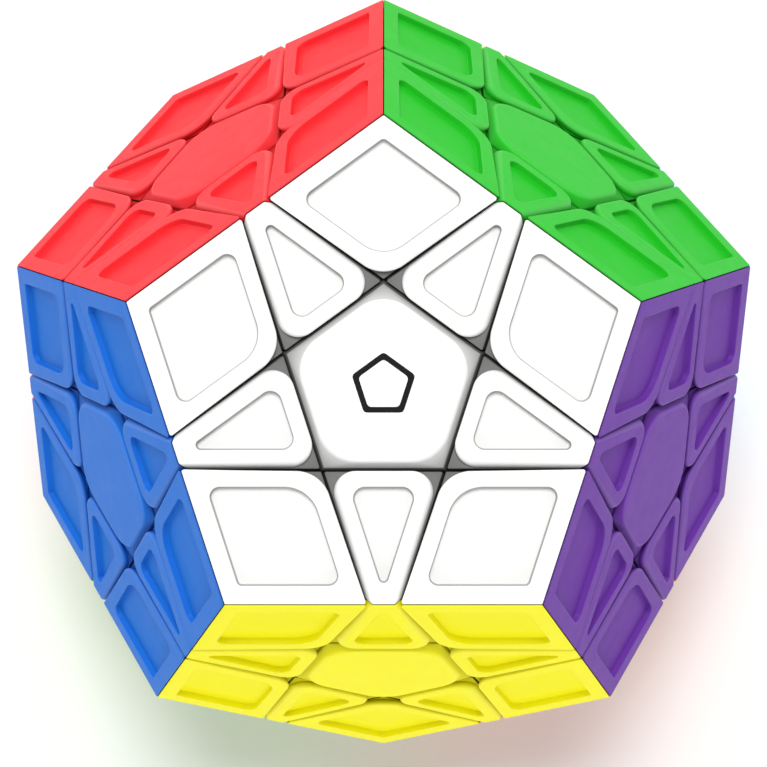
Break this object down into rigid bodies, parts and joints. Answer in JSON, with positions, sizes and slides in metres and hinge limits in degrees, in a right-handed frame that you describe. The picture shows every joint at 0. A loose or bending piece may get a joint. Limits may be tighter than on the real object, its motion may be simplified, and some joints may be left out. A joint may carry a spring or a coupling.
{
  "type": "dodecahedron twisty puzzle",
  "caption": "Dodecahedron twisty puzzle in its solved state: coloured faces of centre, edge and corner pieces turn on a sprung core.",
  "frame": {"origin": "centre of the core, where the twelve face axes meet", "axes": "+Z out of the white face, -Z out of the grey face it rests on, -Y leans out of the yellow face"},
  "size_m": [0.0942, 0.099, 0.0802],
  "materials": {
    "tile_white": "white injection-moulded ABS, coloured through, satin gloss",
    "tile_yellow": "yellow injection-moulded ABS, coloured through, satin gloss",
    "tile_purple": "purple injection-moulded ABS, coloured through, satin gloss",
    "tile_green": "green injection-moulded ABS, coloured through, satin gloss",
    "tile_red": "red injection-moulded ABS, coloured through, satin gloss",
    "tile_blue": "blue injection-moulded ABS, coloured through, satin gloss",
    "tile_cream": "cream injection-moulded ABS, coloured through, satin gloss",
    "tile_pink": "pink injection-moulded ABS, coloured through, satin gloss",
    "tile_lime": "lime injection-moulded ABS, coloured through, satin gloss",
    "tile_orange": "orange injection-moulded ABS, coloured through, satin gloss",
    "tile_sky": "sky injection-moulded ABS, coloured through, satin gloss",
    "tile_grey": "grey injection-moulded ABS, coloured through, satin gloss",
    "inner_plastic": "dark moulded nylon of the bases, feet and stems",
    "core_plastic": "natural moulded nylon",
    "screw_steel": "zinc-plated steel",
    "spring_steel": "drawn spring wire"
  },
  "bodies": {
    "core": {"core": "core_plastic", "axis_screws": "screw_steel", "tension_springs": "spring_steel", "centre_grey": "tile_grey"},
    "centre_white": {"centre_white": "tile_white"},
    "centre_yellow": {"centre_yellow": "tile_yellow"},
    "centre_purple": {"centre_purple": "tile_purple"},
    "centre_green": {"centre_green": "tile_green"},
    "centre_red": {"centre_red": "tile_red"},
    "centre_blue": {"centre_blue": "tile_blue"},
    "centre_cream": {"centre_cream": "tile_cream", "edge_cream_grey": "tile_cream"},
    "centre_pink": {"centre_pink": "tile_pink", "edge_pink_grey": "tile_pink"},
    "centre_lime": {"centre_lime": "tile_lime", "edge_lime_grey": "tile_lime"},
    "centre_orange": {"centre_orange": "tile_orange", "edge_orange_grey": "tile_orange"},
    "centre_sky": {"centre_sky": "tile_sky", "edge_sky_grey": "tile_sky"},
    "edge_white_yellow": {"edge_white_yellow": "tile_white"},
    "edge_white_purple": {"edge_white_purple": "tile_white"},
    "edge_white_green": {"edge_white_green": "tile_white"},
    "edge_white_red": {"edge_white_red": "tile_white"},
    "edge_white_blue": {"edge_white_blue": "tile_white"},
    "edge_yellow_purple": {"edge_yellow_purple": "tile_yellow"},
    "edge_yellow_blue": {"edge_yellow_blue": "tile_yellow"},
    "edge_yellow_lime": {"edge_yellow_lime": "tile_yellow"},
    "edge_yellow_orange": {"edge_yellow_orange": "tile_yellow"},
    "edge_purple_green": {"edge_purple_green": "tile_purple"},
    "edge_purple_orange": {"edge_purple_orange": "tile_purple"},
    "edge_purple_sky": {"edge_purple_sky": "tile_purple"},
    "edge_green_red": {"edge_green_red": "tile_green"},
    "edge_green_cream": {"edge_green_cream": "tile_green"},
    "edge_green_sky": {"edge_green_sky": "tile_green"},
    "edge_red_blue": {"edge_red_blue": "tile_red"},
    "edge_red_cream": {"edge_red_cream": "tile_red"},
    "edge_red_pink": {"edge_red_pink": "tile_red"},
    "edge_blue_pink": {"edge_blue_pink": "tile_blue"},
    "edge_blue_lime": {"edge_blue_lime": "tile_blue"},
    "edge_cream_pink_and_grey_corner": {"edge_cream_pink_and_grey_corner": "tile_cream"},
    "edge_cream_sky_and_grey_corner": {"edge_cream_sky_and_grey_corner": "tile_cream"},
    "edge_pink_lime_and_grey_corner": {"edge_pink_lime_and_grey_corner": "tile_pink"},
    "edge_lime_orange_and_grey_corner": {"edge_lime_orange_and_grey_corner": "tile_lime"},
    "edge_orange_sky_and_grey_corner": {"edge_orange_sky_and_grey_corner": "tile_orange"},
    "corner_white_yellow_purple": {"corner_white_yellow_purple": "tile_white"},
    "corner_white_yellow_blue": {"corner_white_yellow_blue": "tile_white"},
    "corner_white_purple_green": {"corner_white_purple_green": "tile_white"},
    "corner_white_green_red": {"corner_white_green_red": "tile_white"},
    "corner_white_red_blue": {"corner_white_red_blue": "tile_white"},
    "corner_yellow_purple_orange": {"corner_yellow_purple_orange": "tile_yellow"},
    "corner_yellow_blue_lime": {"corner_yellow_blue_lime": "tile_yellow"},
    "corner_yellow_lime_orange": {"corner_yellow_lime_orange": "tile_yellow"},
    "corner_purple_green_sky": {"corner_purple_green_sky": "tile_purple"},
    "corner_purple_orange_sky": {"corner_purple_orange_sky": "tile_purple"},
    "corner_green_red_cream": {"corner_green_red_cream": "tile_green"},
    "corner_green_cream_sky": {"corner_green_cream_sky": "tile_green"},
    "corner_red_blue_pink": {"corner_red_blue_pink": "tile_red"},
    "corner_red_cream_pink": {"corner_red_cream_pink": "tile_red"},
    "corner_blue_pink_lime": {"corner_blue_pink_lime": "tile_blue"}
  },
  "joints": [
    {"name": "turn_white", "type": "hinge", "parent": "core", "child": "centre_white", "pos_m": [0, 0, 0], "axis": [0, 0, 1], "continuous": true},
    {"name": "turn_yellow", "type": "hinge", "parent": "core", "child": "centre_yellow", "pos_m": [0, 0, 0], "axis": [0, -0.8944, 0.4472], "range_deg": [-360, 360]},
    {"name": "turn_purple", "type": "hinge", "parent": "core", "child": "centre_purple", "pos_m": [0, 0, 0], "axis": [0.8507, -0.2764, 0.4472], "range_deg": [-360, 360]},
    {"name": "turn_green", "type": "hinge", "parent": "core", "child": "centre_green", "pos_m": [0, 0, 0], "axis": [0.5257, 0.7236, 0.4472], "range_deg": [-360, 360]},
    {"name": "turn_red", "type": "hinge", "parent": "core", "child": "centre_red", "pos_m": [0, 0, 0], "axis": [-0.5257, 0.7236, 0.4472], "range_deg": [-360, 360]},
    {"name": "turn_blue", "type": "hinge", "parent": "core", "child": "centre_blue", "pos_m": [0, 0, 0], "axis": [-0.8507, -0.2764, 0.4472], "range_deg": [-360, 360]},
    {"name": "turn_cream", "type": "hinge", "parent": "core", "child": "centre_cream", "pos_m": [0, 0, 0], "axis": [0, 0.8944, -0.4472], "continuous": true},
    {"name": "turn_pink", "type": "hinge", "parent": "core", "child": "centre_pink", "pos_m": [0, 0, 0], "axis": [-0.8507, 0.2764, -0.4472], "range_deg": [-360, 360]},
    {"name": "turn_lime", "type": "hinge", "parent": "core", "child": "centre_lime", "pos_m": [0, 0, 0], "axis": [-0.5257, -0.7236, -0.4472], "range_deg": [-360, 360]},
    {"name": "turn_orange", "type": "hinge", "parent": "core", "child": "centre_orange", "pos_m": [0, 0, 0], "axis": [0.5257, -0.7236, -0.4472], "continuous": true},
    {"name": "turn_sky", "type": "hinge", "parent": "core", "child": "centre_sky", "pos_m": [0, 0, 0], "axis": [0.8507, 0.2764, -0.4472], "range_deg": [-360, 360]},
    {"name": "white_yellow_edge_with_yellow", "type": "hinge", "parent": "centre_white", "child": "edge_white_yellow", "pos_m": [0, 0, 0], "axis": [0, -0.8944, 0.4472], "range_deg": [-360, 360]},
    {"name": "white_purple_edge_with_purple", "type": "hinge", "parent": "centre_white", "child": "edge_white_purple", "pos_m": [0, 0, 0], "axis": [0.8507, -0.2764, 0.4472], "range_deg": [-360, 360]},
    {"name": "white_green_edge_with_green", "type": "hinge", "parent": "centre_white", "child": "edge_white_green", "pos_m": [0, 0, 0], "axis": [0.5257, 0.7236, 0.4472], "range_deg": [-360, 360]},
    {"name": "white_red_edge_with_red", "type": "hinge", "parent": "centre_white", "child": "edge_white_red", "pos_m": [0, 0, 0], "axis": [-0.5257, 0.7236, 0.4472], "range_deg": [-360, 360]},
    {"name": "white_blue_edge_with_blue", "type": "hinge", "parent": "centre_white", "child": "edge_white_blue", "pos_m": [0, 0, 0], "axis": [-0.8507, -0.2764, 0.4472], "range_deg": [-360, 360]},
    {"name": "yellow_purple_edge_with_purple", "type": "hinge", "parent": "centre_yellow", "child": "edge_yellow_purple", "pos_m": [0, 0, 0], "axis": [0.8507, -0.2764, 0.4472], "range_deg": [-360, 360]},
    {"name": "yellow_blue_edge_with_blue", "type": "hinge", "parent": "centre_yellow", "child": "edge_yellow_blue", "pos_m": [0, 0, 0], "axis": [-0.8507, -0.2764, 0.4472], "range_deg": [-360, 360]},
    {"name": "yellow_lime_edge_with_lime", "type": "hinge", "parent": "centre_yellow", "child": "edge_yellow_lime", "pos_m": [0, 0, 0], "axis": [-0.5257, -0.7236, -0.4472], "range_deg": [-360, 360]},
    {"name": "yellow_orange_edge_with_orange", "type": "hinge", "parent": "centre_yellow", "child": "edge_yellow_orange", "pos_m": [0, 0, 0], "axis": [0.5257, -0.7236, -0.4472], "continuous": true},
    {"name": "purple_green_edge_with_green", "type": "hinge", "parent": "centre_purple", "child": "edge_purple_green", "pos_m": [0, 0, 0], "axis": [0.5257, 0.7236, 0.4472], "range_deg": [-360, 360]},
    {"name": "purple_orange_edge_with_orange", "type": "hinge", "parent": "centre_purple", "child": "edge_purple_orange", "pos_m": [0, 0, 0], "axis": [0.5257, -0.7236, -0.4472], "continuous": true},
    {"name": "purple_sky_edge_with_sky", "type": "hinge", "parent": "centre_purple", "child": "edge_purple_sky", "pos_m": [0, 0, 0], "axis": [0.8507, 0.2764, -0.4472], "range_deg": [-360, 360]},
    {"name": "green_red_edge_with_red", "type": "hinge", "parent": "centre_green", "child": "edge_green_red", "pos_m": [0, 0, 0], "axis": [-0.5257, 0.7236, 0.4472], "range_deg": [-360, 360]},
    {"name": "green_cream_edge_with_cream", "type": "hinge", "parent": "centre_green", "child": "edge_green_cream", "pos_m": [0, 0, 0], "axis": [0, 0.8944, -0.4472], "continuous": true},
    {"name": "green_sky_edge_with_sky", "type": "hinge", "parent": "centre_green", "child": "edge_green_sky", "pos_m": [0, 0, 0], "axis": [0.8507, 0.2764, -0.4472], "range_deg": [-360, 360]},
    {"name": "red_blue_edge_with_blue", "type": "hinge", "parent": "centre_red", "child": "edge_red_blue", "pos_m": [0, 0, 0], "axis": [-0.8507, -0.2764, 0.4472], "range_deg": [-360, 360]},
    {"name": "red_cream_edge_with_cream", "type": "hinge", "parent": "centre_red", "child": "edge_red_cream", "pos_m": [0, 0, 0], "axis": [0, 0.8944, -0.4472], "continuous": true},
    {"name": "red_pink_edge_with_pink", "type": "hinge", "parent": "centre_red", "child": "edge_red_pink", "pos_m": [0, 0, 0], "axis": [-0.8507, 0.2764, -0.4472], "range_deg": [-360, 360]},
    {"name": "blue_pink_edge_with_pink", "type": "hinge", "parent": "centre_blue", "child": "edge_blue_pink", "pos_m": [0, 0, 0], "axis": [-0.8507, 0.2764, -0.4472], "range_deg": [-360, 360]},
    {"name": "blue_lime_edge_with_lime", "type": "hinge", "parent": "centre_blue", "child": "edge_blue_lime", "pos_m": [0, 0, 0], "axis": [-0.5257, -0.7236, -0.4472], "range_deg": [-360, 360]},
    {"name": "cream_pink_edge_with_pink", "type": "hinge", "parent": "centre_cream", "child": "edge_cream_pink_and_grey_corner", "pos_m": [0, 0, 0], "axis": [-0.8507, 0.2764, -0.4472], "range_deg": [-360, 360]},
    {"name": "cream_sky_edge_with_sky", "type": "hinge", "parent": "centre_cream", "child": "edge_cream_sky_and_grey_corner", "pos_m": [0, 0, 0], "axis": [0.8507, 0.2764, -0.4472], "range_deg": [-360, 360]},
    {"name": "pink_lime_edge_with_lime", "type": "hinge", "parent": "centre_pink", "child": "edge_pink_lime_and_grey_corner", "pos_m": [0, 0, 0], "axis": [-0.5257, -0.7236, -0.4472], "range_deg": [-360, 360]},
    {"name": "lime_orange_edge_with_orange", "type": "hinge", "parent": "centre_lime", "child": "edge_lime_orange_and_grey_corner", "pos_m": [0, 0, 0], "axis": [0.5257, -0.7236, -0.4472], "continuous": true},
    {"name": "orange_sky_edge_with_sky", "type": "hinge", "parent": "centre_orange", "child": "edge_orange_sky_and_grey_corner", "pos_m": [0, 0, 0], "axis": [0.8507, 0.2764, -0.4472], "range_deg": [-360, 360]},
    {"name": "white_yellow_purple_corner_with_purple", "type": "hinge", "parent": "edge_white_yellow", "child": "corner_white_yellow_purple", "pos_m": [0, 0, 0], "axis": [0.8507, -0.2764, 0.4472], "range_deg": [-360, 360]},
    {"name": "white_yellow_blue_corner_with_blue", "type": "hinge", "parent": "edge_white_yellow", "child": "corner_white_yellow_blue", "pos_m": [0, 0, 0], "axis": [-0.8507, -0.2764, 0.4472], "range_deg": [-360, 360]},
    {"name": "white_purple_green_corner_with_green", "type": "hinge", "parent": "edge_white_purple", "child": "corner_white_purple_green", "pos_m": [0, 0, 0], "axis": [0.5257, 0.7236, 0.4472], "range_deg": [-360, 360]},
    {"name": "white_green_red_corner_with_red", "type": "hinge", "parent": "edge_white_green", "child": "corner_white_green_red", "pos_m": [0, 0, 0], "axis": [-0.5257, 0.7236, 0.4472], "range_deg": [-360, 360]},
    {"name": "white_red_blue_corner_with_blue", "type": "hinge", "parent": "edge_white_red", "child": "corner_white_red_blue", "pos_m": [0, 0, 0], "axis": [-0.8507, -0.2764, 0.4472], "range_deg": [-360, 360]},
    {"name": "yellow_purple_orange_corner_with_orange", "type": "hinge", "parent": "edge_yellow_purple", "child": "corner_yellow_purple_orange", "pos_m": [0, 0, 0], "axis": [0.5257, -0.7236, -0.4472], "continuous": true},
    {"name": "yellow_blue_lime_corner_with_lime", "type": "hinge", "parent": "edge_yellow_blue", "child": "corner_yellow_blue_lime", "pos_m": [0, 0, 0], "axis": [-0.5257, -0.7236, -0.4472], "range_deg": [-360, 360]},
    {"name": "yellow_lime_orange_corner_with_orange", "type": "hinge", "parent": "edge_yellow_lime", "child": "corner_yellow_lime_orange", "pos_m": [0, 0, 0], "axis": [0.5257, -0.7236, -0.4472], "continuous": true},
    {"name": "purple_green_sky_corner_with_sky", "type": "hinge", "parent": "edge_purple_green", "child": "corner_purple_green_sky", "pos_m": [0, 0, 0], "axis": [0.8507, 0.2764, -0.4472], "range_deg": [-360, 360]},
    {"name": "purple_orange_sky_corner_with_sky", "type": "hinge", "parent": "edge_purple_orange", "child": "corner_purple_orange_sky", "pos_m": [0, 0, 0], "axis": [0.8507, 0.2764, -0.4472], "range_deg": [-360, 360]},
    {"name": "green_red_cream_corner_with_cream", "type": "hinge", "parent": "edge_green_red", "child": "corner_green_red_cream", "pos_m": [0, 0, 0], "axis": [0, 0.8944, -0.4472], "continuous": true},
    {"name": "green_cream_sky_corner_with_sky", "type": "hinge", "parent": "edge_green_cream", "child": "corner_green_cream_sky", "pos_m": [0, 0, 0], "axis": [0.8507, 0.2764, -0.4472], "range_deg": [-360, 360]},
    {"name": "red_blue_pink_corner_with_pink", "type": "hinge", "parent": "edge_red_blue", "child": "corner_red_blue_pink", "pos_m": [0, 0, 0], "axis": [-0.8507, 0.2764, -0.4472], "range_deg": [-360, 360]},
    {"name": "red_cream_pink_corner_with_pink", "type": "hinge", "parent": "edge_red_cream", "child": "corner_red_cream_pink", "pos_m": [0, 0, 0], "axis": [-0.8507, 0.2764, -0.4472], "range_deg": [-360, 360]},
    {"name": "blue_pink_lime_corner_with_lime", "type": "hinge", "parent": "edge_blue_pink", "child": "corner_blue_pink_lime", "pos_m": [0, 0, 0], "axis": [-0.5257, -0.7236, -0.4472], "range_deg": [-360, 360]}
  ],
  "couplings": [
    {"joint": "white_yellow_edge_with_yellow", "follows": "turn_yellow", "ratio": 1},
    {"joint": "white_purple_edge_with_purple", "follows": "turn_purple", "ratio": 1},
    {"joint": "white_green_edge_with_green", "follows": "turn_green", "ratio": 1},
    {"joint": "white_red_edge_with_red", "follows": "turn_red", "ratio": 1},
    {"joint": "white_blue_edge_with_blue", "follows": "turn_blue", "ratio": 1},
    {"joint": "yellow_purple_edge_with_purple", "follows": "turn_purple", "ratio": 1},
    {"joint": "yellow_blue_edge_with_blue", "follows": "turn_blue", "ratio": 1},
    {"joint": "yellow_lime_edge_with_lime", "follows": "turn_lime", "ratio": 1},
    {"joint": "yellow_orange_edge_with_orange", "follows": "turn_orange", "ratio": 1},
    {"joint": "purple_green_edge_with_green", "follows": "turn_green", "ratio": 1},
    {"joint": "purple_orange_edge_with_orange", "follows": "turn_orange", "ratio": 1},
    {"joint": "purple_sky_edge_with_sky", "follows": "turn_sky", "ratio": 1},
    {"joint": "green_red_edge_with_red", "follows": "turn_red", "ratio": 1},
    {"joint": "green_cream_edge_with_cream", "follows": "turn_cream", "ratio": 1},
    {"joint": "green_sky_edge_with_sky", "follows": "turn_sky", "ratio": 1},
    {"joint": "red_blue_edge_with_blue", "follows": "turn_blue", "ratio": 1},
    {"joint": "red_cream_edge_with_cream", "follows": "turn_cream", "ratio": 1},
    {"joint": "red_pink_edge_with_pink", "follows": "turn_pink", "ratio": 1},
    {"joint": "blue_pink_edge_with_pink", "follows": "turn_pink", "ratio": 1},
    {"joint": "blue_lime_edge_with_lime", "follows": "turn_lime", "ratio": 1},
    {"joint": "cream_pink_edge_with_pink", "follows": "turn_pink", "ratio": 1},
    {"joint": "cream_sky_edge_with_sky", "follows": "turn_sky", "ratio": 1},
    {"joint": "pink_lime_edge_with_lime", "follows": "turn_lime", "ratio": 1},
    {"joint": "lime_orange_edge_with_orange", "follows": "turn_orange", "ratio": 1},
    {"joint": "orange_sky_edge_with_sky", "follows": "turn_sky", "ratio": 1},
    {"joint": "white_yellow_purple_corner_with_purple", "follows": "turn_purple", "ratio": 1},
    {"joint": "white_yellow_blue_corner_with_blue", "follows": "turn_blue", "ratio": 1},
    {"joint": "white_purple_green_corner_with_green", "follows": "turn_green", "ratio": 1},
    {"joint": "white_green_red_corner_with_red", "follows": "turn_red", "ratio": 1},
    {"joint": "white_red_blue_corner_with_blue", "follows": "turn_blue", "ratio": 1},
    {"joint": "yellow_purple_orange_corner_with_orange", "follows": "turn_orange", "ratio": 1},
    {"joint": "yellow_blue_lime_corner_with_lime", "follows": "turn_lime", "ratio": 1},
    {"joint": "yellow_lime_orange_corner_with_orange", "follows": "turn_orange", "ratio": 1},
    {"joint": "purple_green_sky_corner_with_sky", "follows": "turn_sky", "ratio": 1},
    {"joint": "purple_orange_sky_corner_with_sky", "follows": "turn_sky", "ratio": 1},
    {"joint": "green_red_cream_corner_with_cream", "follows": "turn_cream", "ratio": 1},
    {"joint": "green_cream_sky_corner_with_sky", "follows": "turn_sky", "ratio": 1},
    {"joint": "red_blue_pink_corner_with_pink", "follows": "turn_pink", "ratio": 1},
    {"joint": "red_cream_pink_corner_with_pink", "follows": "turn_pink", "ratio": 1},
    {"joint": "blue_pink_lime_corner_with_lime", "follows": "turn_lime", "ratio": 1}
  ]
}
